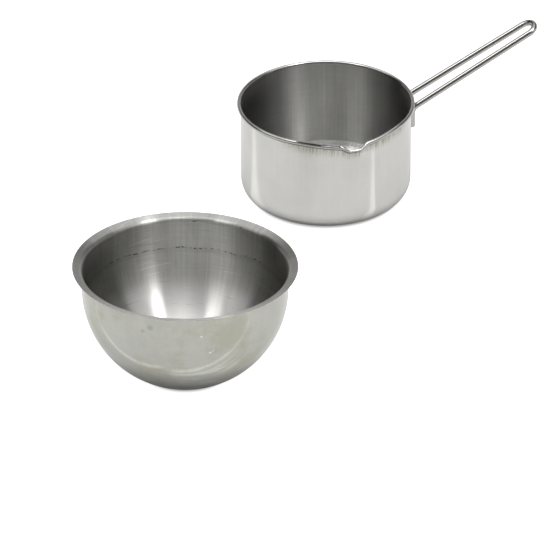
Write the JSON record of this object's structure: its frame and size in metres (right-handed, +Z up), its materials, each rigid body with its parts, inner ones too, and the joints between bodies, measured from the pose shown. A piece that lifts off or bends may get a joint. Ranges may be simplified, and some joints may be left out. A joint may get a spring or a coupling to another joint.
{
  "type": "double boiler",
  "caption": "Stainless double boiler: a milk pan with a rolled rim, pouring spout and wire loop handle, and a loose round-bottomed bowl that sits in the pan's rim.",
  "frame": {"origin": "centre of the pan's flat base, on the surface that the set stands on", "axes": "+Z up; +X from the pan's axis towards its handle; the pouring spout points along -Y"},
  "size_m": [0.5537, 0.4752, 0.1471],
  "materials": {
    "pan_steel": "polished stainless sheet, satin inside",
    "handle_steel": "bright polished stainless wire",
    "bowl_steel": "used polished stainless sheet, brushed inside"
  },
  "bodies": {
    "pan": {"pan_shell": "pan_steel", "wire_handle": "handle_steel"},
    "bowl": {"bowl_shell": "bowl_steel"}
  },
  "joints": [
    {"name": "bowl_lift", "type": "slide", "parent": "pan", "child": "bowl", "axis": [0, 0, 1], "range_m": [0, 0.2]}
  ]
}
